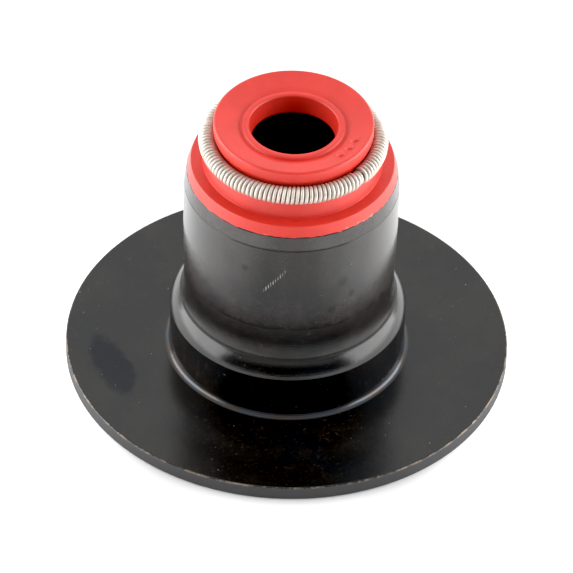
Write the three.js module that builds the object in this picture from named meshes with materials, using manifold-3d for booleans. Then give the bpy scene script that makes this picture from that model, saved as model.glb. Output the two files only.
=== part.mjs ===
// Valve stem seal with a built-in spring seat, for a 7 mm valve stem.
// It has three pieces: a pressed steel shell, a rubber seal body bonded to the shell, and a garter spring.
// Millimetres, +Z up. The origin is the centre of the flange's underside, on the axis of the stem.

import * as THREE from "three";
import { mergeVertices } from "three/addons/utils/BufferGeometryUtils.js";
import Module from "manifold-3d";

// What the seal fits
const stemDiameter = 7;
const lipInterference = 0.24; // the free lip is this much smaller than the stem
const guideDiameter = 13;
const guideInterference = 0.4; // the rib crests are this much smaller than the guide

// Steel shell, from the inside out
const liningThickness = 1.3; // rubber between a rib crest and the steel
const wallThickness = 0.92; // drawn wall at the foot of the barrel
const barrelSwell = 0.13; // the upper barrel is this much larger in radius
const collarStep = 1.08; // from the foot of the barrel out to the collar
const flangeDiameter = 36;
const flangeThickness = 1.18;
const rimRadius = 0.16; // rolled upper edge of the flange
const rimChamfer = 0.1; // sheared lower edge of the flange
const filletRadius = 0.42; // between the flange and the collar

// Steel shell, upwards
const collarHeight = 5.2; // top of the collar's straight wall, from the underside
const collarEdge = 0.2; // height of the small bevel on top of that wall
const collarEdgeInset = 0.05;
const shoulderRise = 1.17; // rounded shoulder up to the crease
const shoulderRun = 0.75;
const shoulderTurn = 60; // degrees that the shoulder leans in where it meets the crease
const creaseDepth = 0.05;
const creaseHeight = 0.1;
const flareRise = 1.63; // from the crease up to the foot of the barrel
const swellStart = 1.3; // from the foot of the barrel up to where it begins to widen
const swellRise = 4.4;
const barrelLength = 9.8; // from the foot of the barrel up to the bevel line
const bevelRise = 1.3;
const bevelInset = 0.18;
const turnedEdgeRadius = 0.1;
const turnedRingWidth = 2.55; // how far the top is turned in, under the rubber

// Seal body
const bondGap = 0.02; // between the rubber and the steel that it is bonded to
const ledgeRise = 0.95; // rubber above the shell
const ledgeDraft = 0.28;
const ledgeEdgeRadius = 0.08;
const neckWall = 1.92; // rubber between the lip chamber and the groove's floor
const capOverhang = 0.3; // the cap stands out this far beyond the groove's floor
const coneFootStep = 1.08; // foot of the cone beyond the groove's floor
const grooveBottom = 240; // the groove's floor follows the coil between these angles, in degrees
const grooveTop = 158;
const grooveLip = 0.4; // lower flank of the groove, from the floor out to the cone
const capRise = 1.88; // top edge of the cap above the spring's centre
const capEdgeRadius = 0.28;
const topDish = 0.6; // the top face sinks this far towards the bead
const beadHeight = 0.24;
const beadWidth = 0.68;
const beadEdge = 0.12;
const boreFlare = 0.1; // the mouth of the bore is this much larger in radius than the lip
const lipDepth = 0.15; // lip edge below the spring's centre
const lipLand = 0.12;
const lipRelief = 0.82; // the chamber under the lip is this much larger in radius
const lipReliefRise = 1.0;
const springHeight = 3.17; // centre of the spring above the shell
const guideStopThickness = 1.3; // rubber under the turned ring, where the guide's end stops
const liningLength = 10.2;
const ribCount = 5;
const ribDepth = 0.35;
const ribCrestShare = 0.2; // of the pitch from rib to rib
const ribFootShare = 0.6;
const leadIn = 0.4; // chamfer where the guide enters

// Garter spring
const wireDiameter = 0.27;
const coilDiameter = 1.38;
const turnPitch = 0.335; // along the ring's centre line
const springClearance = 0.03; // between the spring and its groove

// Round marks left by the mould on the top face
const markCount = 3;
const markSpacing = 12; // degrees
const markAzimuth = -31; // degrees from +X
const markDiameter = 0.8;
const markTopDiameter = 0.66;
const markHeight = 0.13;

// How finely round things are divided
const aroundSteps = 48;
const stepsPerTurn = 5.5; // the half step sets each turn's corners between those of the next
const wireSides = 4;
const markSides = 14;

// Radii that the sizes above give
const lipRadius = (stemDiameter - lipInterference) / 2;
const chamberRadius = lipRadius + lipRelief;
const neckRadius = chamberRadius + neckWall;
const capRadius = neckRadius + capOverhang;
const crestRadius = (guideDiameter - guideInterference) / 2;
const shellBore = crestRadius + liningThickness;
const barrelFoot = shellBore + wallThickness;
const barrelRadius = barrelFoot + barrelSwell;
const collarRadius = barrelFoot + collarStep;
const rimOuter = flangeDiameter / 2;
const turnedEdge = barrelRadius - bevelInset;
const turnedHole = turnedEdge - turnedRingWidth;
const ringRadius = neckRadius + springClearance + coilDiameter / 2;

// Heights that the sizes above give
const creaseTop = collarHeight + collarEdge + shoulderRise;
const barrelStart = creaseTop + creaseHeight + flareRise;
const bevelStart = barrelStart + barrelLength;
const shellTop = bevelStart + bevelRise;
const springCentre = shellTop + springHeight;
const guideStop = shellTop - wallThickness - guideStopThickness;

const point = (r, z) => new THREE.Vector2(r, z);

// Points on an arc about (r, z), with angles in degrees from the outward direction.
function arc(r, z, radius, from, to, steps, radiusZ = radius) {
  const points = [];
  for (let i = 0; i <= steps; i++) {
    const angle = THREE.MathUtils.degToRad(from + ((to - from) * i) / steps);
    points.push(point(r + radius * Math.cos(angle), z + radiusZ * Math.sin(angle)));
  }
  return points;
}

// A closed section swept round the Z axis.
function turned(profile) {
  const geometry = new THREE.LatheGeometry([...profile, profile[0].clone()], aroundSteps);
  return geometry.rotateX(Math.PI / 2);
}

// A quarter turn of the shoulder would be this much wider and higher than the part that it has.
const shoulderShare = 1 - Math.cos(THREE.MathUtils.degToRad(shoulderTurn));
const shoulderSine = Math.sin(THREE.MathUtils.degToRad(shoulderTurn));

function flangeSection() {
  return [
    point(rimOuter - rimChamfer, 0),
    point(rimOuter, rimChamfer),
    ...arc(rimOuter - rimRadius, flangeThickness - rimRadius, rimRadius, 0, 90, 3),
    ...arc(collarRadius + filletRadius, flangeThickness + filletRadius, filletRadius, 270, 180, 5),
  ];
}

function collarSection() {
  const edge = collarRadius - collarEdgeInset;
  const run = shoulderRun / shoulderShare;
  const rise = shoulderRise / shoulderSine;
  return [
    point(collarRadius, collarHeight),
    ...arc(edge - run, collarHeight + collarEdge, run, 0, shoulderTurn, 4, rise),
    point(edge - shoulderRun - creaseDepth, creaseTop + creaseHeight / 2),
  ];
}

function barrelSection() {
  const flareRun = collarStep - collarEdgeInset - shoulderRun;
  const run = flareRun / shoulderShare;
  const rise = flareRise / shoulderSine;
  return [
    ...arc(barrelFoot + run, barrelStart, run, 180 + shoulderTurn, 180, 4, rise),
    point(barrelFoot, barrelStart + swellStart),
    point(barrelFoot + barrelSwell / 2, barrelStart + swellStart + swellRise / 2),
    point(barrelRadius, barrelStart + swellStart + swellRise),
    point(barrelRadius, bevelStart),
    ...arc(turnedEdge - turnedEdgeRadius, shellTop - turnedEdgeRadius, turnedEdgeRadius, 10, 90, 2),
  ];
}

function insideSection() {
  const under = shellTop - wallThickness;
  const collarBore = collarRadius - wallThickness;
  const bendCentre = collarRadius + filletRadius;
  const bendTop = flangeThickness + filletRadius;
  return [
    point(turnedHole, shellTop),
    point(turnedHole, under),
    ...arc(shellBore - wallThickness / 2, under - wallThickness / 2, wallThickness / 2, 90, 0, 3),
    point(shellBore, barrelStart - wallThickness / 2),
    point(collarBore, collarHeight - wallThickness / 2),
    ...arc(bendCentre, bendTop, bendCentre - collarBore, 180, 270, 5, bendTop),
  ];
}

// One drawn sheet: flange, collar, shoulder, barrel, and the top turned in under the rubber.
function shellGeometry() {
  return turned([...flangeSection(), ...collarSection(), ...barrelSection(), ...insideSection()]);
}

// The outside of the rubber, from the steel up to the edge of the top face.
function outsideOfBody() {
  const seat = coilDiameter / 2 + springClearance;
  const wallFoot = turnedEdge - bondGap;
  const ledge = shellTop + ledgeRise;
  const coneFoot = neckRadius + coneFootStep;
  const floor = arc(ringRadius, springCentre, seat, grooveBottom, grooveTop, 5);
  const undercut = floor[floor.length - 1];
  const capLean = Math.tan(THREE.MathUtils.degToRad(grooveTop - 90));
  const lipLean = THREE.MathUtils.degToRad(grooveBottom - 90);
  const lipEnd = point(
    floor[0].x - grooveLip * Math.cos(lipLean),
    floor[0].y - grooveLip * Math.sin(lipLean),
  );
  return [
    point(wallFoot, shellTop + bondGap),
    ...arc(wallFoot - ledgeDraft - ledgeEdgeRadius, ledge - ledgeEdgeRadius, ledgeEdgeRadius, 15, 90, 2),
    point(coneFoot, ledge),
    lipEnd,
    ...floor,
    point(capRadius, undercut.y + (capRadius - undercut.x) * capLean),
    ...arc(
      capRadius - capEdgeRadius,
      springCentre + capRise - capEdgeRadius,
      capEdgeRadius,
      0,
      80,
      3,
    ),
  ];
}

// The top face, the bead round the bore and the sealing lip.
function lipSection() {
  const mouth = lipRadius + boreFlare;
  const foot = springCentre + capRise - topDish;
  const crown = foot + beadHeight;
  const lip = springCentre - lipDepth;
  return [
    point(mouth + beadWidth, foot),
    point(mouth + beadWidth - beadEdge, crown - beadEdge / 3),
    point(mouth + beadWidth - 2 * beadEdge, crown),
    point(mouth + beadEdge, crown),
    point(mouth, crown - 2 * beadEdge),
    point(lipRadius, lip + lipLand),
    point(lipRadius, lip),
    point(chamberRadius, lip - lipReliefRise),
    point(chamberRadius, guideStop + leadIn),
    point(chamberRadius + leadIn, guideStop),
  ];
}

// The lining with its ribs, down inside the barrel and back up along the steel.
function liningSection() {
  const bottom = guideStop - liningLength;
  const pitch = liningLength / (ribCount + 1);
  const crestHalf = (ribCrestShare * pitch) / 2;
  const footHalf = (ribFootShare * pitch) / 2;
  const points = [point(crestRadius + ribDepth, guideStop)];
  for (let i = 0; i < ribCount; i++) {
    const crest = guideStop - (i + 1) * pitch;
    points.push(point(crestRadius + ribDepth, crest + footHalf));
    points.push(point(crestRadius, crest + crestHalf));
    points.push(point(crestRadius, crest - crestHalf));
    points.push(point(crestRadius + ribDepth, crest - footHalf));
  }
  const outer = shellBore - bondGap;
  const under = shellTop - wallThickness - bondGap;
  const corner = wallThickness / 2;
  return [
    ...points,
    point(crestRadius + ribDepth + leadIn, bottom),
    point(outer, bottom),
    ...arc(outer - corner, under - corner, corner, 0, 90, 3),
    point(turnedHole - bondGap, under),
    point(turnedHole - bondGap, shellTop + bondGap),
  ];
}

const wasm = await Module();
wasm.setup();

function toSolid(geometry) {
  const bare = geometry.index ? geometry.toNonIndexed() : geometry.clone();
  bare.deleteAttribute("normal");
  bare.deleteAttribute("uv");
  const merged = mergeVertices(bare, 1e-4);
  return new wasm.Manifold(
    new wasm.Mesh({
      numProp: 3,
      vertProperties: merged.attributes.position.array,
      triVerts: new Uint32Array(merged.index.array),
    }),
  );
}

function toGeometry(solid) {
  const mesh = solid.getMesh();
  const geometry = new THREE.BufferGeometry();
  geometry.setAttribute("position", new THREE.BufferAttribute(mesh.vertProperties, 3));
  geometry.setIndex(new THREE.BufferAttribute(mesh.triVerts, 1));
  geometry.computeVertexNormals();
  return geometry;
}

// A raised round mark on the sloping top face, midway between the bead and the cap's edge.
function markGeometry(index) {
  const beadFoot = lipRadius + boreFlare + beadWidth;
  const radius = (beadFoot + capRadius - capEdgeRadius) / 2;
  const face = springCentre + capRise - topDish / 2;
  const azimuth = THREE.MathUtils.degToRad(markAzimuth + (index - (markCount - 1) / 2) * markSpacing);
  const sunk = topDish / 2;
  const height = markHeight + sunk;
  const mark = new THREE.CylinderGeometry(markTopDiameter / 2, markDiameter / 2, height, markSides);
  mark.rotateX(Math.PI / 2);
  mark.translate(radius * Math.cos(azimuth), radius * Math.sin(azimuth), face + markHeight - height / 2);
  return mark;
}

function sealGeometry() {
  let body = toSolid(turned([...outsideOfBody(), ...lipSection(), ...liningSection()]));
  for (let i = 0; i < markCount; i++) body = body.add(toSolid(markGeometry(i)));
  return toGeometry(body);
}

// A close-wound coil whose axis is bent into a ring, and whose ends are joined.
class GarterCurve extends THREE.Curve {
  constructor(turns) {
    super();
    this.turns = turns;
  }

  getPoint(t, target = new THREE.Vector3()) {
    const around = 2 * Math.PI * t;
    const winding = around * this.turns;
    const coil = (coilDiameter - wireDiameter) / 2;
    const r = ringRadius + coil * Math.cos(winding);
    return target.set(r * Math.cos(around), r * Math.sin(around), springCentre + coil * Math.sin(winding));
  }
}

// The wire's section is set square to the coil at each step, so that the last ring meets the first.
function springGeometry() {
  const turns = Math.round((2 * Math.PI * ringRadius) / turnPitch);
  const curve = new GarterCurve(turns);
  const rings = Math.round(turns * stepsPerTurn);
  const positions = [];
  const index = [];
  for (let i = 0; i < rings; i++) {
    const t = i / rings;
    const centre = curve.getPoint(t);
    const axis = new THREE.Vector3(
      ringRadius * Math.cos(2 * Math.PI * t),
      ringRadius * Math.sin(2 * Math.PI * t),
      springCentre,
    );
    const along = curve.getTangent(t);
    const out = centre.clone().sub(axis).normalize();
    const side = along.clone().cross(out).normalize();
    for (let k = 0; k < wireSides; k++) {
      const angle = (2 * Math.PI * k) / wireSides;
      const corner = centre.clone();
      corner.addScaledVector(out, (Math.cos(angle) * wireDiameter) / 2);
      corner.addScaledVector(side, (Math.sin(angle) * wireDiameter) / 2);
      positions.push(...corner.toArray());
      const a = i * wireSides + k;
      const b = i * wireSides + ((k + 1) % wireSides);
      const c = ((i + 1) % rings) * wireSides + k;
      const d = ((i + 1) % rings) * wireSides + ((k + 1) % wireSides);
      index.push(a, b, c, b, d, c);
    }
  }
  const geometry = new THREE.BufferGeometry();
  geometry.setAttribute("position", new THREE.Float32BufferAttribute(positions, 3));
  geometry.setIndex(index);
  geometry.computeVertexNormals();
  return geometry;
}

function piece(name, geometry, color, roughness, metalness) {
  const mesh = new THREE.Mesh(geometry, new THREE.MeshStandardMaterial({ color, roughness, metalness }));
  mesh.name = name;
  return mesh;
}

const seal = new THREE.Group();
seal.add(piece("shell", shellGeometry(), 0x232323, 0.3, 0.1));
seal.add(piece("seal_body", sealGeometry(), 0xd8382b, 0.55, 0));
seal.add(piece("garter_spring", springGeometry(), 0xc9c5be, 0.25, 1));

export default seal;
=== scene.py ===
# %% [markdown]
# # A valve stem seal with its own spring seat
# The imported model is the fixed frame: a steel shell, a rubber body and a garter spring.
# Each piece is made again here with a fine surface, takes the place of its CAD node and gets its finish.

# %% Load the frame
import math

import bpy
import numpy as np
from mathutils import Matrix, Vector


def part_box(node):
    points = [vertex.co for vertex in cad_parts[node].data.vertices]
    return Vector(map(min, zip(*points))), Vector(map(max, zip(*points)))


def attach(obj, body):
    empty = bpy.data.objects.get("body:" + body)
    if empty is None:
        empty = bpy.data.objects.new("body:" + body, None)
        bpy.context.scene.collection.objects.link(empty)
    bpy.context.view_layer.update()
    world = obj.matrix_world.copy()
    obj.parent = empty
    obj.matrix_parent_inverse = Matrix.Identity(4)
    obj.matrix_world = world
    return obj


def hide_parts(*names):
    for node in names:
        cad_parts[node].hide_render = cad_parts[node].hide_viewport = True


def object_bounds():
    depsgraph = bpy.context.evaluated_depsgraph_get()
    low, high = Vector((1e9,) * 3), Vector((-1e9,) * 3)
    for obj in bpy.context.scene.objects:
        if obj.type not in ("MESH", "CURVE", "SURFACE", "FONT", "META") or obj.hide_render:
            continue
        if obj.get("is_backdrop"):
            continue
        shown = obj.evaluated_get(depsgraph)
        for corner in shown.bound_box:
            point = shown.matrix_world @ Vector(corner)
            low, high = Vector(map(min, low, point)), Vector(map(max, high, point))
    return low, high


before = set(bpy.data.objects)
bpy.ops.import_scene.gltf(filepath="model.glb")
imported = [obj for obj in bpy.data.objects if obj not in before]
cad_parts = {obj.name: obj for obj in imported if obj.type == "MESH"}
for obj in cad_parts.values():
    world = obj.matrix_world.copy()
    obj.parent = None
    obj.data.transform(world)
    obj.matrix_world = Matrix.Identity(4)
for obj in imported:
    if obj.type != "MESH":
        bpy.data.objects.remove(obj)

low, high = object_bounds()
MM = 0.001
scene = bpy.context.scene
print("frame", [round(v / MM, 2) for v in high - low], "mm")

# %% [markdown]
# ## Outlines
# Everything but the spring is turned, as if on a lathe, so a piece is one closed outline in
# (radius, height). The outline is a list of corners, and each corner has the radius that a tool or a
# mould would leave there. `rounded` turns the corners into arcs and adds a close point on each side
# of them, so that smooth shading stays flat on the flats.

# %% Rounded corners
ARC_STEP = math.radians(15)
MOST = 0.48  # the share of a straight side that one arc may take


def ellipse(r, z, run, rise, start, end, steps):
    """Corners along part of an ellipse about (r, z), with angles in degrees."""
    angles = np.radians(np.linspace(start, end, steps))
    return [(r + run * math.cos(a), z + rise * math.sin(a), 0) for a in angles]


def corner_points(before, corner, after, radius):
    """The points of the arc that rounds one corner."""
    back = (before - corner).normalized()
    ahead = (after - corner).normalized()
    half = back.angle(ahead) / 2
    shorter = min((before - corner).length, (after - corner).length)
    reach = min(radius / math.tan(half), MOST * shorter)
    radius = reach * math.tan(half)
    centre = corner + (back + ahead).normalized() * (radius / math.sin(half))
    first = corner + back * reach - centre
    last = corner + ahead * reach - centre
    sweep = first.angle_signed(last)
    steps = max(2, math.ceil(abs(sweep) / ARC_STEP))
    return [centre + Matrix.Rotation(-sweep * i / steps, 2) @ first for i in range(steps + 1)]


# %% Closed outlines
SUPPORT = 0.03  # mm, from the end of an arc to the next point
LONG_STEP = 0.6  # mm, the longest straight step


def spread(points):
    """The closed outline with support points beside its bends and no step over LONG_STEP."""
    out = []
    for i, p in enumerate(points):
        q = points[(i + 1) % len(points)]
        gap = (q - p).length
        out.append(p)
        if gap < 6 * SUPPORT:
            continue
        inner = np.linspace(SUPPORT / gap, 1 - SUPPORT / gap, max(2, math.ceil(gap / LONG_STEP) + 1))
        out.extend(p.lerp(q, t) for t in inner)
    return out


def rounded(corners):
    """A closed outline in mm as an array of (r, z), from corners (r, z, radius)."""
    places = [Vector((r, z)) for r, z, _ in corners]
    points = []
    for i, (r, z, radius) in enumerate(corners):
        if radius:
            points += corner_points(places[i - 1], places[i], places[(i + 1) % len(places)], radius)
        else:
            points.append(places[i])
    return np.array([tuple(p) for p in spread(points)])


# %% [markdown]
# ## Turning an outline
# Spinning an edge loop with bmesh would work too. Here the vertices are worked out in one go as a grid
# of outline points by steps round the axis, because a later cell moves single vertices of that grid.

# %% Turned mesh
def full_turn(steps):
    return np.linspace(0, 2 * math.pi, steps, endpoint=False)


def turned(name, outline, azimuth, shift=None):
    """A closed mesh: the outline, in mm, swept round Z. shift(r, z, azimuth) returns moved (r, z)."""
    steps = len(azimuth)
    a, r = np.meshgrid(azimuth, outline[:, 0], indexing="ij")
    z = np.broadcast_to(outline[:, 1], r.shape)
    if shift:
        r, z = shift(r, z, a)
    places = np.stack([r * np.cos(a), r * np.sin(a), z], -1).reshape(-1, 3) * MM
    count = len(outline)
    i = np.arange(steps)[:, None]
    j = np.arange(count)[None, :]
    here, up = i * count + j, i * count + (j + 1) % count
    round_ = (i + 1) % steps * count
    faces = np.stack([here, round_ + j, round_ + (j + 1) % count, up], -1).reshape(-1, 4)
    mesh = bpy.data.meshes.new(name)
    mesh.from_pydata(places.tolist(), [], faces.tolist())
    mesh.shade_smooth()
    obj = bpy.data.objects.new(name, mesh)
    scene.collection.objects.link(obj)
    print(name, len(mesh.vertices), "vertices")
    return obj


# %% [markdown]
# ## The shell's outline
# A press draws the shell from one disc. That leaves a flat flange, a fillet up to a short collar, a
# shoulder that bulges out below a fine crease, a flare into the barrel, and a faint swell further up.
# The top is turned in, under the rubber.

# %% Shell sizes
rim = high.x / MM
flange = 1.18
fillet = 0.42
collar, collar_top = 9.6, 5.2
shoulder_radius, shoulder_start, shoulder_end = 3.3, 18, 44  # mm and degrees
crease_width, crease_depth = 0.15, 0.09
barrel_z = 8.3
barrel, swell = 8.52, 8.65
bevel_z = 18.1
shell_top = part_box("shell")[1].z / MM
turned_edge, turned_hole = 8.47, 5.92
bore, collar_bore = 7.6, 8.68
bore_foot, recess_top = 7.59, 4.74
lead_in = 1.3  # at the recess's foot, at 45 degrees
swell_start, swell_end = 9.6, 14.0
wall = 0.92
SIN_60 = 0.866

shoulder_r = collar - 0.03 - shoulder_radius * math.cos(math.radians(shoulder_start))
shoulder_z = collar_top + 0.1 - shoulder_radius * math.sin(math.radians(shoulder_start))
shoulder = ellipse(
    shoulder_r, shoulder_z, shoulder_radius, shoulder_radius, shoulder_start, shoulder_end, 9
)
crease_r, crease_z, _ = shoulder[-1]
flare_run, flare_rise = crease_r - crease_depth - barrel, barrel_z - crease_z - crease_width
flare = ellipse(barrel + 2 * flare_run, barrel_z, 2 * flare_run, flare_rise / SIN_60, 240, 180, 9)
print("crease", round(crease_r, 2), round(crease_z, 2))

# %% [markdown]
# The corners run up the outside from the rim, round the turned-in top, and down the bore to the recess
# that clears the foot of the valve guide. Each corner is a radius, a height and its own rounding.

# %% Shell mesh
SHELL_STEPS = 288
shell_corners = [
    (rim, 0, 0.1),
    (rim, flange, 0.16),
    (collar - 0.04, flange, fillet),
    (collar - 0.04, collar_top - 0.12, 0.05),
    (collar, collar_top, 0.12),
    *shoulder,
    (crease_r - crease_depth, crease_z + crease_width / 2, 0),
    *flare,
    (barrel, swell_start, 2),
    (swell, swell_end, 2),
    (swell, bevel_z - 0.06, 0),
    (swell - 0.035, bevel_z - 0.02, 0.02),
    (swell - 0.012, bevel_z + 0.05, 0.03),
    (turned_edge, shell_top, 0.1),
    (turned_hole, shell_top, 0.08),
    (turned_hole, shell_top - wall, 0.2),
    (bore, shell_top - wall, 0.46),
    (bore, bore_foot, 0.8),
    (collar_bore, recess_top, 0.8),
    (collar_bore, lead_in, 0.4),
    (collar_bore + lead_in, 0, 0.6),
]
shell = turned("shell_fine", rounded(shell_corners), full_turn(SHELL_STEPS))

# %% [markdown]
# ## The rubber's outline
# The mould leaves crisp edges, so the radii here are small. The round groove follows the spring, and
# the ribs inside the barrel are one shape that a loop repeats. The bore, its bead and the cap's dished
# face show from above, so they have the closest points.

# %% Rubber sizes
ring, spring_z, coil = 6.88, 22.48, 0.73
seat = coil + 0.03
ledge, ledge_edge = 20.35, 8.17
cone_foot, cone_top, cone_top_z = 7.2, 6.83, 21.75
cap, cap_top, cap_foot = 6.42, 24.45, 23.43
face_foot = 23.85
bead, ridge, mouth = 4.2, 3.86, 3.56
crown = 24.09
lip, lip_z = 3.38, 22.42
chamber = 4.2
guide_stop = 17.18
crest, root = 6.3, 6.65
lining_foot = 6.98
gap = 0.02
rib_pitch, rib_foot, rib_crest = 1.7, 0.51, 0.17

ribs = []
for i in range(5):
    rib = guide_stop - (i + 1) * rib_pitch
    ribs += [(root, rib + rib_foot, 0.12), (crest, rib + rib_crest, 0.08)]
    ribs += [(crest, rib - rib_crest, 0.08), (root, rib - rib_foot, 0.12)]

mark_ring = (bead + cap - 0.28) / 2
face_slope = (cap_top - face_foot) / (cap - bead)
face_radii = np.arange(mark_ring + 0.5, mark_ring - 0.5, -0.045)
face = [(r, face_foot + (r - bead) * face_slope, 0) for r in face_radii]

print(len(ribs) // 4, "ribs, and the marks stand", round(mark_ring, 2), "mm from the axis")

# %% [markdown]
# These corners start at the rubber's foot. They run up the cone, round the spring's groove and over the
# cap, then down through the bead, the lip and the chamber, and back outside the ribs.

# %% Rubber corners
seal_corners = [
    (turned_edge - gap, shell_top + gap, 0.03),
    (ledge_edge, ledge, 0.07),
    (cone_foot, ledge, 0.06),
    (cone_top, cone_top_z, 0.1),
    *ellipse(ring, spring_z, seat, seat, 240, 158, 12),
    (cap - 0.01, cap_foot, 0.05),
    (cap, cap_top, 0.2),
    *face,
    (bead + 0.09, face_foot - 0.03, 0.02),
    (bead + 0.02, face_foot - 0.03, 0.02),
    *ellipse(ridge, face_foot, bead - ridge, crown - face_foot, 0, 150, 9),
    (mouth, crown - 0.22, 0.05),
    (lip, lip_z + 0.12, 0),
    (lip, lip_z, 0),
    (chamber, lip_z - 1, 0.3),
    (chamber, guide_stop, 0.3),
    (root, guide_stop, 0.1),
    *ribs,
    (root + 0.4, lining_foot, 0.1),
    (bore - gap, lining_foot, 0.1),
    (bore - gap, shell_top - wall - gap, 0.46),
    (turned_hole - gap, shell_top - wall - gap, 0.1),
    (turned_hole - gap, shell_top + gap, 0.05),
]
print(len(seal_corners), "corners")

# %% [markdown]
# ## Mould marks and flash
# Three low round marks stand on the top face, and the rubber's foot has a thin ragged flash. Both are
# pushed out of the turned grid itself, so the mesh stays one closed surface. The grid is finer round
# the axis where the marks are.

# %% Marks and flash
MARKS = np.radians([-43, -31, -19])
MARK_RADIUS, MARK_RAMP, MARK_HEIGHT = 0.4, 0.09, 0.13
FLASH_WAVES = (23, 41, 67, 101, 139)
FLASH_SEED = 3
FLASH_SIZE = 0.035


def smooth(t):
    t = np.clip(t, 0, 1)
    return t * t * (3 - 2 * t)


def ragged(a, waves, seed):
    """An irregular line from about -1 to 1 round the axis, the same on each run."""
    phase = np.random.default_rng(seed).uniform(0, 2 * math.pi, len(waves))
    return sum(np.sin(k * a + p) for k, p in zip(waves, phase)) / math.sqrt(len(waves))


def mark_and_flash(r, z, a):
    """The marks lift the top face, and the flash pushes the foot outwards and down."""
    rise = np.zeros_like(r)
    for mark in MARKS:
        off_x = r * np.cos(a) - mark_ring * math.cos(mark)
        off_y = r * np.sin(a) - mark_ring * math.sin(mark)
        off = np.hypot(off_x, off_y)
        rise = np.maximum(rise, smooth((MARK_RADIUS - off) / MARK_RAMP))
    top = (z > face_foot + 0.02) & (r > bead)
    foot = smooth((shell_top + 0.16 - z) / 0.12) * smooth((r - turned_edge + 0.3) / 0.1)
    flash = np.clip(ragged(a, FLASH_WAVES, FLASH_SEED), 0, 2) * FLASH_SIZE
    return r + foot * flash, z + top * rise * MARK_HEIGHT - foot * flash


# %% Rubber mesh
COARSE_STEP, FINE_STEP = 2.1, 0.5  # degrees
sector_start = np.degrees(MARKS[0]) - 6
sector_end = np.degrees(MARKS[-1]) + 6
coarse = np.arange(sector_end, sector_start + 360, COARSE_STEP)
fine = np.arange(sector_start + 360, sector_end + 360, FINE_STEP)
around_seal = np.radians(np.concatenate([coarse, fine]))
seal = turned("seal_fine", rounded(seal_corners), around_seal, mark_and_flash)

# %% [markdown]
# ## Nodes as sums
# Geometry and shader trees share the Math node. `Flow` wraps a socket, so `a * 2 + b` adds the nodes.

# %% Node helper
class Flow:
    """A socket in a node tree. Arithmetic on it adds Math nodes, and `node` adds any other node."""

    def __init__(self, tree, socket=None):
        self.tree = tree
        self.socket = socket

    def node(self, kind, settings=None, **inputs):
        made = self.tree.nodes.new(kind)
        for name, value in (settings or {}).items():
            setattr(made, name, value)
        for name, value in inputs.items():
            key = int(name[1:]) if name[0] == "_" and name[1:].isdigit() else name.replace("_", " ")
            self.feed(made.inputs[key], value)
        return made

    def feed(self, entry, value):
        if isinstance(value, Flow):
            self.tree.links.new(value.socket, entry)
        elif isinstance(value, bpy.types.NodeSocket):
            self.tree.links.new(value, entry)
        else:
            entry.default_value = value

    def math(self, operation, *values, clamp=False):
        made = self.node("ShaderNodeMath", {"operation": operation, "use_clamp": clamp})
        for entry, value in zip(made.inputs, values):
            self.feed(entry, value)
        return Flow(self.tree, made.outputs[0])

    def __add__(self, other):
        return self.math("ADD", self, other)

    def __sub__(self, other):
        return self.math("SUBTRACT", self, other)

    def __rsub__(self, other):
        return self.math("SUBTRACT", other, self)

    def __mul__(self, other):
        return self.math("MULTIPLY", self, other)

    def __truediv__(self, other):
        return self.math("DIVIDE", self, other)

    def __pow__(self, other):
        return self.math("POWER", self, other)

    __radd__ = __add__

    def clamped(self):
        return self.math("ADD", self, 0.0, clamp=True)

    def between(self, start, end):
        """0 at start and 1 at end, with a soft step between them."""
        made = self.node("ShaderNodeMapRange", {"interpolation_type": "SMOOTHSTEP"}, Value=self)
        made.inputs["From Min"].default_value = start
        made.inputs["From Max"].default_value = end
        return Flow(self.tree, made.outputs["Result"])


# %% [markdown]
# ## The garter spring
# A garter spring is a close-wound coil, bent into a ring, with its tapered tail screwed into its head.
# The turns follow a path, so Geometry Nodes wind them: a line of points is moved onto the coil's path by
# arithmetic on each point's index. A curve drawn by hand could not keep 125 turns even.

# %% Coil path
TAIL_FULL, TAIL_GONE = 0.0035, 0.012  # shares of the ring, on each side of the joint
TAIL_TAPER = 0.24  # how much smaller the coil is at the joint
TAIL_CROWDING, TAIL_WAVES = 1.3, 61  # how far its turns there slip from an even pitch


def coil_path(build, share, turns, ring_radius, coil_radius, height, joint):
    """Where the wire's middle runs, with share going from 0 to 1 round the ring."""
    away = build.math("ABSOLUTE", build.math("PINGPONG", share - joint + 1.0, 0.5))
    tail = 1 - away.between(TAIL_FULL, TAIL_GONE)
    around = share * (2 * math.pi)
    slip = build.math("SINE", share * (2 * math.pi * TAIL_WAVES)) * tail
    winding = around * turns + slip * TAIL_CROWDING
    coil_here = coil_radius * (1 - tail * TAIL_TAPER)
    radius = ring_radius + coil_here * build.math("COSINE", winding)
    place = build.node(
        "ShaderNodeCombineXYZ",
        X=radius * build.math("COSINE", around),
        Y=radius * build.math("SINE", around),
        Z=height + coil_here * build.math("SINE", winding),
    )
    return place.outputs[0]


# %% [markdown]
# The wire is a round section swept along that closed path. The tree ends in Realize Instances and Set
# Material, so that its result is a plain mesh with its finish on it.

# %% Spring tree
WIRE_SIDES = 8


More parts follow.
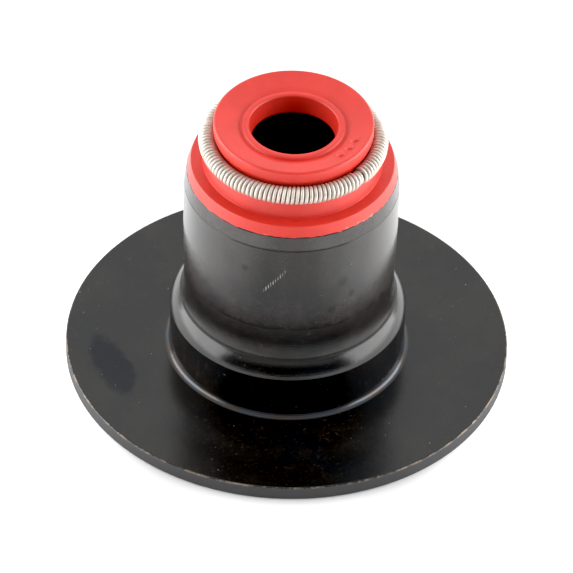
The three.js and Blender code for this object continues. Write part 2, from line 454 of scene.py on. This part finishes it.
def spring_tree(material):
    tree = bpy.data.node_groups.new("wind garter spring", "GeometryNodeTree")
    for name in ("Turns", "Steps"):
        tree.interface.new_socket(name, in_out="INPUT", socket_type="NodeSocketInt")
    for name in ("Ring Radius", "Coil Radius", "Wire Radius", "Height", "Joint Place"):
        tree.interface.new_socket(name, in_out="INPUT", socket_type="NodeSocketFloat")
    tree.interface.new_socket("Geometry", in_out="OUTPUT", socket_type="NodeSocketGeometry")
    build = Flow(tree)
    given = build.node("NodeGroupInput")
    turns, steps, ring_radius, coil_radius, wire_radius, height, joint = (
        Flow(tree, given.outputs[i]) for i in range(7)
    )
    total = turns * steps
    share = Flow(tree, build.node("GeometryNodeInputIndex").outputs[0]) / total
    place = coil_path(build, share, turns, ring_radius, coil_radius, height, joint)
    line = build.node("GeometryNodeMeshLine", Count=total)
    moved = build.node("GeometryNodeSetPosition", Geometry=line.outputs[0], Position=place)
    path = build.node("GeometryNodeMeshToCurve", Mesh=moved.outputs[0])
    closed = build.node("GeometryNodeSetSplineCyclic", Geometry=path.outputs[0], Cyclic=True)
    section = build.node("GeometryNodeCurvePrimitiveCircle", Resolution=WIRE_SIDES, Radius=wire_radius)
    wire = build.node("GeometryNodeCurveToMesh", Curve=closed.outputs[0], Profile_Curve=section.outputs[0])
    smooth_wire = build.node("GeometryNodeSetShadeSmooth", Geometry=wire.outputs[0], Shade_Smooth=True)
    real = build.node("GeometryNodeRealizeInstances", Geometry=smooth_wire.outputs[0])
    painted = build.node("GeometryNodeSetMaterial", Geometry=real.outputs[0], Material=material)
    out = build.node("NodeGroupOutput")
    tree.links.new(painted.outputs[0], out.inputs[0])
    print(tree.name, len(tree.nodes), "nodes")
    return tree


# %% From tree to mesh
def made_by(tree, name, **values):
    """A plain mesh object from a node tree with the given inputs."""
    holder = bpy.data.objects.new(name + "_holder", bpy.data.meshes.new(name + "_holder"))
    scene.collection.objects.link(holder)
    modifier = holder.modifiers.new("nodes", "NODES")
    modifier.node_group = tree
    for item in tree.interface.items_tree:
        if item.in_out == "INPUT" and item.name.replace(" ", "_") in values:
            modifier[item.identifier] = values[item.name.replace(" ", "_")]
    seen = holder.evaluated_get(bpy.context.evaluated_depsgraph_get())
    mesh = bpy.data.meshes.new_from_object(seen)
    mesh.name = name
    holder.modifiers.remove(modifier)
    bpy.data.objects.remove(holder)
    obj = bpy.data.objects.new(name, mesh)
    scene.collection.objects.link(obj)
    print(name, len(mesh.polygons), "faces")
    return obj


# %% [markdown]
# ## Finishes
# Each finish starts from one Principled shader. What varies over the surface reads Object coordinates,
# because every mesh has its place in its vertices and its object at the origin. Positions are turned
# into millimetres first, so that the sizes in a mask are the sizes on the seal.

# %% Material helpers
def material(name):
    made = bpy.data.materials.new(name)
    made.use_nodes = True
    made.node_tree.nodes.clear()
    return made, Flow(made.node_tree)


def surface(build, **inputs):
    shader = build.node("ShaderNodeBsdfPrincipled", **inputs)
    out = build.node("ShaderNodeOutputMaterial")
    build.tree.links.new(shader.outputs[0], out.inputs[0])


def millimetres(build):
    """The place on the piece in mm, as a vector and as x, y, z and the distance from the axis."""
    spot = build.node("ShaderNodeTexCoord").outputs["Object"]
    grown = build.node("ShaderNodeVectorMath", {"operation": "SCALE"}, _0=spot, Scale=1 / MM)
    parts = build.node("ShaderNodeSeparateXYZ", Vector=grown.outputs[0])
    x, y, z = (Flow(build.tree, parts.outputs[i]) for i in range(3))
    return grown.outputs[0], x, y, z, (x * x + y * y) ** 0.5


# %% [markdown]
# The masks are made of noise and of soft steps between two values, and each mask blends one colour over
# the colours below it.

# %% Mask helpers
def degrees_round(build, x, y):
    """Degrees round the axis from the front, -Y, growing towards +X."""
    return build.math("ARCTAN2", x, 0 - y) * (180 / math.pi)


def noise(build, place, scale, detail=4.0, roughness=0.55, stretch=None):
    """Noise from 0 to 1 whose grains are about 1 / scale mm across."""
    if stretch:
        longer = build.node("ShaderNodeVectorMath", {"operation": "MULTIPLY"}, _0=place, _1=stretch)
        place = longer.outputs[0]
    made = build.node("ShaderNodeTexNoise", Vector=place, Scale=scale, Detail=detail, Roughness=roughness)
    return Flow(build.tree, made.outputs["Fac"])


def blend(build, mask, first, second):
    """A colour that goes from first to second as mask goes from 0 to 1."""
    made = build.node("ShaderNodeMix", {"data_type": "RGBA"})
    build.feed(made.inputs[0], mask)
    for entry, colour in ((made.inputs[6], first), (made.inputs[7], second)):
        build.feed(entry, (*colour, 1) if isinstance(colour, tuple) else colour)
    return Flow(build.tree, made.outputs[2])


def bump(build, height, distance):
    """A bent normal for grain that stands up to distance mm high."""
    made = build.node("ShaderNodeBump", Height=height, Distance=distance * MM, Strength=1.0)
    return Flow(build.tree, made.outputs[0])


# %% [markdown]
# ## Grime, film and painted reflection on the steel
# Oil has left brown grime on the flare, and handling has left a thin grey film on the barrel. Above a
# ragged line the grey is also painted reflection: it brightens the barrel where it mirrors the floor
# beyond the flange. Painting them on an image would be the usual way. Noise between two heights does
# it without one, and it keeps its scale in millimetres.

# %% Grime, film and painted reflection
GRIME_TOP = 11.5
REFLECTION_FOOT = 10.8  # about where the film and its painted reflection begin, with a ragged edge
REFLECTION_BAND_TOP = 11.0  # the film's painted reflection is brighter below this


def grime_mask(build, place, z):
    foot = (GRIME_TOP - z).between(0.0, 3.0) * (z - crease_z).between(-0.2, 0.4)
    return foot * noise(build, place, 1.1, 7.0, 0.75).between(0.3, 0.75)


def film_and_reflection_masks(build, place, z):
    """The whole film with its painted reflection, and the dull band above the bevel line."""
    fine = noise(build, place, 1.4, 6.0, 0.7)
    upper = (z - bevel_z).between(0.0, 0.25) * (0.3 + fine * 0.6)
    smear = noise(build, place, 0.45, 5.0, 0.65, (1.0, 1.0, 0.4)).between(0.35, 0.7)
    above_reflection_foot = (z + fine * 2.6 - REFLECTION_FOOT).between(0.0, 0.7)
    reflection_band = above_reflection_foot * (1 - (z - REFLECTION_BAND_TOP).between(0.0, 2.5))
    film = above_reflection_foot * (smear * 0.16 + fine * 0.2) + upper * 0.55 + reflection_band * fine * 0.25
    return film.clamped(), upper


# %% [markdown]
# ## Marks at one place
# A dark blue stain lies on one side of the flange, faint blots and a scraped row of short dashes are on
# the barrel. Each is a distance from its own centre or line, with noise added to make its edge ragged.

# %% Stain, blots and scrape
STAIN_X, STAIN_Y = -14.0, -3.9
STAIN_LENGTH, STAIN_WIDTH = 4.6, 2.0
STAIN_TURN = (0.4, -0.917)  # the direction of its length
BLOTS = ((30, 14.1, 0.7), (36, 12.5, 0.5), (-24, 15.6, 0.45), (24, 11.4, 0.5))  # degrees, mm up, mm
SCRAPE_FROM = (-13.5, 13.7)  # degrees round from the front, and mm up
SCRAPE_TO = (-1.5, 16.0)
SCRAPE_DASHES = 9


def stain_mask(build, place, x, y, z):
    along = (x - STAIN_X) * STAIN_TURN[0] + (y - STAIN_Y) * STAIN_TURN[1]
    across = (y - STAIN_Y) * STAIN_TURN[0] - (x - STAIN_X) * STAIN_TURN[1]
    off = (along * along / STAIN_LENGTH ** 2 + across * across / STAIN_WIDTH ** 2) ** 0.5
    stain = (1.45 - off - noise(build, place, 0.35, 7.0, 0.75) * 1.1).between(0.0, 0.3)
    return stain * (flange + 0.1 - z).between(0.0, 0.1)


def blot_masks(build, place, turn, z):
    ragged_edge = noise(build, place, 1.6, 6.0, 0.8) * 2.0 - 0.3
    blots = []
    for blot_turn, blot_z, blot_size in BLOTS:
        arc = (turn - blot_turn) * (math.radians(1) * swell)
        off = (arc * arc + (z - blot_z) * (z - blot_z)) ** 0.5 / blot_size
        blots.append(1 - (off + ragged_edge).between(0.9, 1.7))
    return blots


def scrape_mask(build, place, turn, z):
    run = (turn - SCRAPE_FROM[0]) / (SCRAPE_TO[0] - SCRAPE_FROM[0])
    rise = (z - SCRAPE_FROM[1]) / (SCRAPE_TO[1] - SCRAPE_FROM[1])
    on_line = 1 - build.math("ABSOLUTE", run - rise).between(0.05, 0.12)
    on_line = on_line * run.between(0.0, 0.08) * (1 - run.between(0.9, 1.0))
    dashes = build.math("SINE", run * (2 * math.pi * SCRAPE_DASHES) + rise * 4).between(0.1, 0.7)
    return on_line * dashes * noise(build, place, 2.5).between(0.35, 0.55)


# %% [markdown]
# ## Edges of the steel
# The rim's upper edge is worn to bare metal, and its cut side is dull. The crease is painted black as
# shade, and the tight fillet has blue and brown heat tints that also paint a brighter highlight along
# it. Height and radius find these places by themselves.

# %% Edges
def rim_masks(build, place, z, r):
    """The dull cut side of the flange, and the worn upper edge of the rim."""
    side = (r - (rim - 0.06)).between(0.0, 0.05)
    edge = (r - (rim - 0.14)).between(0.0, 0.1) * (z - (flange - 0.17)).between(0.0, 0.1)
    return side, edge * noise(build, place, 1.1, 7.0, 0.8).between(0.46, 0.6)


# Painted shade: a thin band along the crease, painted black where shade falls.
def crease_shade_mask(build, z, r):
    away = build.math("ABSOLUTE", z - crease_z - crease_width / 2).between(0.05, 0.14)
    return (1 - away) * (collar + 1.4 - r).between(0.0, 0.1)


# Tint and painted highlight: the thin band along the fillet where its highlight runs.
def fillet_tint_and_highlight_mask(z, r):
    return (1 - (r - collar).between(0.15, 0.42)) * (1 - (z - flange).between(0.15, 0.42))


# %% [markdown]
# ## Small spots on the steel
# Dust, brown freckles, a little rust and bright specks lie all over the coat. Scattered pieces would be
# far too many, so each kind is noise at its own scale, cut off high so that only its peaks show.

# %% Small spots
DUST, FRECKLE = (0.045, 0.038, 0.032), (0.045, 0.031, 0.022)
RUST, SPECK = (0.05, 0.026, 0.012), (0.3, 0.28, 0.26)


def small_spots(build, place, second, colour):
    """Dust, brown freckles, rust and bright specks, and the mask of the specks."""
    dust = noise(build, place, 7.0, 2.0, 0.5).between(0.64, 0.72)
    colour = blend(build, dust * 0.5, colour, DUST)
    freckles = noise(build, place, 2.6, 4.0, 0.7).between(0.57, 0.72) * second.between(0.4, 0.6)
    colour = blend(build, freckles * 0.8, colour, FRECKLE)
    rust = noise(build, place, 1.3, 6.0, 0.7).between(0.68, 0.76)
    rust = rust * noise(build, place, 0.22).between(0.5, 0.62)
    colour = blend(build, rust * 0.6, colour, RUST)
    specks = noise(build, place, 3.6, 2.0, 0.5).between(0.765, 0.79)
    return blend(build, specks, colour, SPECK), specks


# %% [markdown]
# ## Black coated steel
# A thin dark coat on drawn steel shows less by its colour than by what it mirrors: black where it
# faces the flange, grey where it faces the room. So the colour stays near black, and the layers above
# go on top of it one by one. Metallic dulls or tints the mirror where it must change.

# %% Steel
COAT_BROWN, COAT_BLUE = (0.0042, 0.0036, 0.0033), (0.004, 0.0047, 0.0062)
# FILM_AND_REFLECTION_GREY is partly a handling film and partly painted reflection on the barrel.
CLOUD_BROWN, GRIME, FILM_AND_REFLECTION_GREY = (0.013, 0.0095, 0.007), (0.012, 0.0085, 0.006), (0.062, 0.055, 0.052)
BLOT, STAIN, CUT_SIDE = (0.006, 0.0055, 0.006), (0.0028, 0.0048, 0.009), (0.042, 0.042, 0.045)
BARE_EDGE, SCRAPE = (0.27, 0.21, 0.16), (0.3, 0.3, 0.3)
# The fillet's blue and brown tints are partly painted highlight.
HIGHLIGHT_TINT_BLUE, HIGHLIGHT_TINT_BROWN = (0.085, 0.1, 0.125), (0.105, 0.085, 0.072)


def steel_finish():
    made, build = material("black_coated_steel")
    place, x, y, z, r = millimetres(build)
    turn = degrees_round(build, x, y)
    cloud = noise(build, place, 0.16, 5.0, 0.6)
    second = noise(build, place, 0.5, 4.0, 0.6)
    grime = grime_mask(build, place, z)
    film, upper = film_and_reflection_masks(build, place, z)
    crease_shade = crease_shade_mask(build, z, r)
    side, worn = rim_masks(build, place, z, r)
    stain = stain_mask(build, place, x, y, z)
    fillet_tint_and_highlight = fillet_tint_and_highlight_mask(z, r)

    colour = blend(build, cloud.between(0.45, 0.62), COAT_BROWN, COAT_BLUE)
    colour = blend(build, second.between(0.5, 0.8) * 0.5, colour, CLOUD_BROWN)
    colour = blend(build, grime * 0.5, colour, GRIME)
    # Partly painted reflection: above its ragged foot the grey brightens the barrel where it mirrors the
    # floor.
    colour = blend(build, film, colour, FILM_AND_REFLECTION_GREY)
    dull = grime * 0.25
    for blot in blot_masks(build, place, turn, z):
        colour = blend(build, blot * 0.6, colour, BLOT)
        dull = dull + blot * 0.22
    # Painted shade: the crease is painted black.
    colour = blend(build, crease_shade, colour, (0.0, 0.0, 0.0))
    colour = blend(build, side, colour, CUT_SIDE)
    colour = blend(build, stain, colour, STAIN)
    colour, specks = small_spots(build, place, second, colour)
    colour = blend(build, worn, colour, BARE_EDGE)
    # Partly painted highlight: the fillet's tints also brighten it along its length.
    highlight_tints = blend(build, noise(build, place, 0.5).between(0.4, 0.6), HIGHLIGHT_TINT_BLUE, HIGHLIGHT_TINT_BROWN)
    colour = blend(build, fillet_tint_and_highlight * 0.5, colour, highlight_tints)
    colour = blend(build, scrape_mask(build, place, turn, z), colour, SCRAPE)

    rough = 0.15 + second * 0.1 + worn * 0.25 + specks * 0.3 + grime * 0.04
    rough = rough + side * 0.4 + upper * 0.12 + crease_shade * 0.5
    metal = worn * 0.5 + stain * 0.3 + cloud.between(0.4, 0.6) * 0.1 + dull + fillet_tint_and_highlight * 0.3
    grain = noise(build, place, 7.0, 3.0, 0.6) * 0.7 + noise(build, place, 1.2, 3.0, 0.5)
    surface(
        build,
        Base_Color=colour,
        Roughness=rough,
        Metallic=metal.clamped(),
        Normal=bump(build, grain, 0.008),
    )
    print(made.name, len(build.tree.nodes), "nodes")
    return made


# %% [markdown]
# ## Red rubber
# Moulded fluoro-rubber is a deep saturated red with a soft gloss. It looks paler where it mirrors the
# white room and darker in its corners, and the light does both. Below the lip it is painted nearly
# black, as shade in the cavity.

# %% Rubber
RED_DEEP, RED_PALE = (0.56, 0.027, 0.017), (0.62, 0.033, 0.022)
# CAVITY_SHADE is painted shade for the cavity below the lip.
CAVITY_SHADE, TORN_PALE = (0.006, 0.004, 0.004), (0.75, 0.38, 0.3)
TORN_FROM, TORN_TO = 30, 54  # degrees round from the front, where the flash is torn most


def torn_flash(build, place, x, y, z, r):
    """Pale torn bits of flash along the rubber's foot."""
    foot = (shell_top + 0.2 - z).between(0.0, 0.1) * (r - 8.2).between(0.0, 0.1)
    turn = degrees_round(build, x, y)
    sector = turn.between(TORN_FROM, TORN_FROM + 4) * (1 - turn.between(TORN_TO - 6, TORN_TO))
    torn = sector + noise(build, place, 0.35).between(0.56, 0.64)
    return foot * noise(build, place, 3.2, 4.0, 0.7).between(0.48, 0.62) * torn.clamped()


def rubber_finish():
    made, build = material("red_rubber")
    place, x, y, z, r = millimetres(build)
    cloud = noise(build, place, 0.4, 4.0, 0.6)
    colour = blend(build, cloud.between(0.35, 0.7), RED_DEEP, RED_PALE)
    # Painted shade: the cavity below the lip is painted nearly black.
    cavity_shade = (lip_z + 0.1 - z).between(0.0, 0.1) * (z - (guide_stop - 0.3)).between(0.0, 0.2)
    cavity_shade = cavity_shade * (chamber + 1.6 - r).between(0.0, 0.2)
    colour = blend(build, cavity_shade, colour, CAVITY_SHADE)
    colour = blend(build, torn_flash(build, place, x, y, z, r), colour, TORN_PALE)
    grain = noise(build, place, 5.0, 3.0, 0.6)
    surface(
        build,
        Base_Color=colour,
        Roughness=0.36 + cloud * 0.12,
        Normal=bump(build, grain, 0.004),
    )
    print(made.name, len(build.tree.nodes), "nodes")
    return made


# %% [markdown]
# ## Spring wire
# Drawn wire has a dull shine that is never quite even. A metal shader alone mirrors too sharply here,
# so it is rough and only partly metallic, and a soft film varies its colour.

# %% Wire
WIRE_PALE, WIRE_FILM = (0.64, 0.58, 0.52), (0.47, 0.41, 0.36)


def wire_finish():
    made, build = material("spring_wire")
    place = millimetres(build)[0]
    film = noise(build, place, 1.5, 4.0, 0.6)
    colour = blend(build, film.between(0.35, 0.75), WIRE_PALE, WIRE_FILM)
    surface(build, Base_Color=colour, Roughness=0.44 + film * 0.16, Metallic=0.62)
    print(made.name, len(build.tree.nodes), "nodes")
    return made


# %% [markdown]
# ## Winding the spring and dressing the pieces
# The tree gets its sizes by name, and the result is a plain mesh. Then each piece takes its material,
# rides on the one body, and stands for its node of the frame.

# %% Dressed pieces
TURNS, WIRE_STEPS = 125, 20
JOINT_PLACE = 0.887  # share of the ring from +X, counted towards +Y
wire_radius = 0.154
spring = made_by(
    spring_tree(wire_finish()),
    "spring_fine",
    Turns=TURNS,
    Steps=WIRE_STEPS,
    Ring_Radius=ring * MM,
    Coil_Radius=(coil - wire_radius) * MM,
    Wire_Radius=wire_radius * MM,
    Height=spring_z * MM,
    Joint_Place=JOINT_PLACE,
)
shell.data.materials.append(steel_finish())
seal.data.materials.append(rubber_finish())

for piece, node, slot in (
    (shell, "shell", "coated_steel"),
    (seal, "seal_body", "seal_rubber"),
    (spring, "garter_spring", "spring_wire"),
):
    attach(piece, "root")
    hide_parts(node)
    print(piece.name, "takes the place of", node)

# %% [markdown]
# ## Floor
# The seal stands on plain white. Lamps alone would leave the floor grey round a dark object, so it also
# shines by itself at both sides. It doesn't in the middle, because the black steel would mirror it there.

# %% Floor
FLOOR_SIZE = 4.0
FLOOR_Z = -0.05 * MM  # just clear of the flange's underside, so that the two faces don't fight
GLOW_START, GLOW_END = 8, 26  # mm to each side

floor_mesh = bpy.data.meshes.new("floor")
floor_mesh.from_pydata(
    [(x * FLOOR_SIZE, y * FLOOR_SIZE, FLOOR_Z) for x, y in ((-1, -1), (1, -1), (1, 1), (-1, 1))],
    [],
    [(0, 1, 2, 3)],
)
floor = bpy.data.objects.new("floor", floor_mesh)
scene.collection.objects.link(floor)
pale, build = material("pale_floor")
aside = build.math("ABSOLUTE", millimetres(build)[1]).between(GLOW_START, GLOW_END)
surface(
    build,
    Base_Color=(0.85, 0.85, 0.85, 1),
    Roughness=0.8,
    Emission_Color=blend(build, aside, (0.0, 0.0, 0.0), (1.0, 1.0, 1.0)),
    Emission_Strength=1.2,
)
floor_mesh.materials.append(pale)
floor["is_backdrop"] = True
print("floor at", round(FLOOR_Z / MM, 3), "mm")

# %% [markdown]
# ## The room
# A glossy black object shows its room. Here the room is bright behind and above the seal and dark in
# front of it, which gives the flange its black middle. The camera itself sees plain white. The curve's
# black level takes away the last haze in the shadows.

# %% Room and view
ROOM_BACK, ROOM_FRONT = 1.36, 0.03
BLACK_LEVEL = (0.008, 0.008, 0.0085)

world = bpy.data.worlds.new("studio")
scene.world = world
world.use_nodes = True
sky = Flow(world.node_tree)
sight = sky.node("ShaderNodeSeparateXYZ", Vector=sky.node("ShaderNodeTexCoord").outputs["Generated"])
to_back, to_top = (Flow(world.node_tree, sight.outputs[i]) for i in (1, 2))
lit = (to_back * 0.7 + to_top * 0.6).between(-0.1, 0.9) * (ROOM_BACK - ROOM_FRONT) + ROOM_FRONT
seen = Flow(world.node_tree, sky.node("ShaderNodeLightPath").outputs["Is Camera Ray"])
room = lit + seen * (1 - lit)
backdrop = world.node_tree.nodes["Background"]
backdrop.inputs[0].default_value = (1, 1, 1, 1)
world.node_tree.links.new(room.socket, backdrop.inputs[1])

view = scene.view_settings
view.view_transform = "Standard"
view.use_curve_mapping = True
view.curve_mapping.black_level = BLACK_LEVEL
print("room from", ROOM_FRONT, "in front to", ROOM_BACK, "behind")

# %% [markdown]
# ## Softboxes
# Two large softboxes at the sides draw the bright edges of the barrel, and a wide strip in front draws
# the grey band on the shoulder. Area lights were chosen because their size sets the highlight's width.

# %% Softboxes
def softbox(name, azimuth, elevation, distance, width, height, power):
    """An area light that faces the seal. Azimuth 0 is on the camera's side."""
    light = bpy.data.lights.new(name, "AREA")
    light.shape = "RECTANGLE"
    light.size = width
    light.size_y = height
    light.energy = power
    a, e = math.radians(azimuth), math.radians(elevation)
    away = Vector((math.sin(a) * math.cos(e), -math.cos(a) * math.cos(e), math.sin(e)))
    obj = bpy.data.objects.new(name, light)
    obj.location = away * distance
    obj.rotation_euler = away.to_track_quat("Z", "Y").to_euler()
    scene.collection.objects.link(obj)
    print(name, power, "W")


for name, azimuth in (("left_softbox", -90), ("right_softbox", 90)):
    softbox(name, azimuth, elevation=19, distance=0.5, width=0.58, height=0.34, power=3.8)
softbox("front_fill", 0, elevation=41, distance=0.5, width=0.9, height=0.15, power=0.36)

# %% [markdown]
# ## Camera
# The photograph looks down on the seal from the front, with a slight roll. The distance, the lens and
# the small offset were fitted to the round edges of the flange, the collar and the cap.

# %% Camera
SENSOR, LENS = 36, 502.6  # mm
FARTHEST = 20  # m, beyond the floor's far corner
CAMERA_DISTANCE = 0.6481  # m
CAMERA_ELEVATION = math.radians(41.5)
CAMERA_ROLL = math.radians(1.88)
OFFSET_RIGHT, OFFSET_UP = -0.186 * MM, -0.904 * MM
AIM = Vector((0, 0, 8 * MM))

back = Vector((0, -math.cos(CAMERA_ELEVATION), math.sin(CAMERA_ELEVATION)))
level = Vector((1, 0, 0))
up = back.cross(level)
right = math.cos(CAMERA_ROLL) * level + math.sin(CAMERA_ROLL) * up
top = math.cos(CAMERA_ROLL) * up - math.sin(CAMERA_ROLL) * level
camera_data = bpy.data.cameras.new("camera")
camera_data.sensor_width = SENSOR
camera_data.lens = LENS
camera_data.clip_end = FARTHEST
camera = bpy.data.objects.new("camera", camera_data)
scene.collection.objects.link(camera)
pose = Matrix((right, top, back)).transposed().to_4x4()
pose.translation = AIM + back * CAMERA_DISTANCE + OFFSET_RIGHT * right + OFFSET_UP * top
camera.matrix_world = pose
scene.camera = camera
print("camera at", [round(v / MM) for v in camera.matrix_world.translation], "mm")

# %% [markdown]
# ## Last measure
# The box round everything shown but the floor is measured once more at the end. The visual model has
# to stay inside the frame's box.

# %% Measure and finish
low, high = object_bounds()
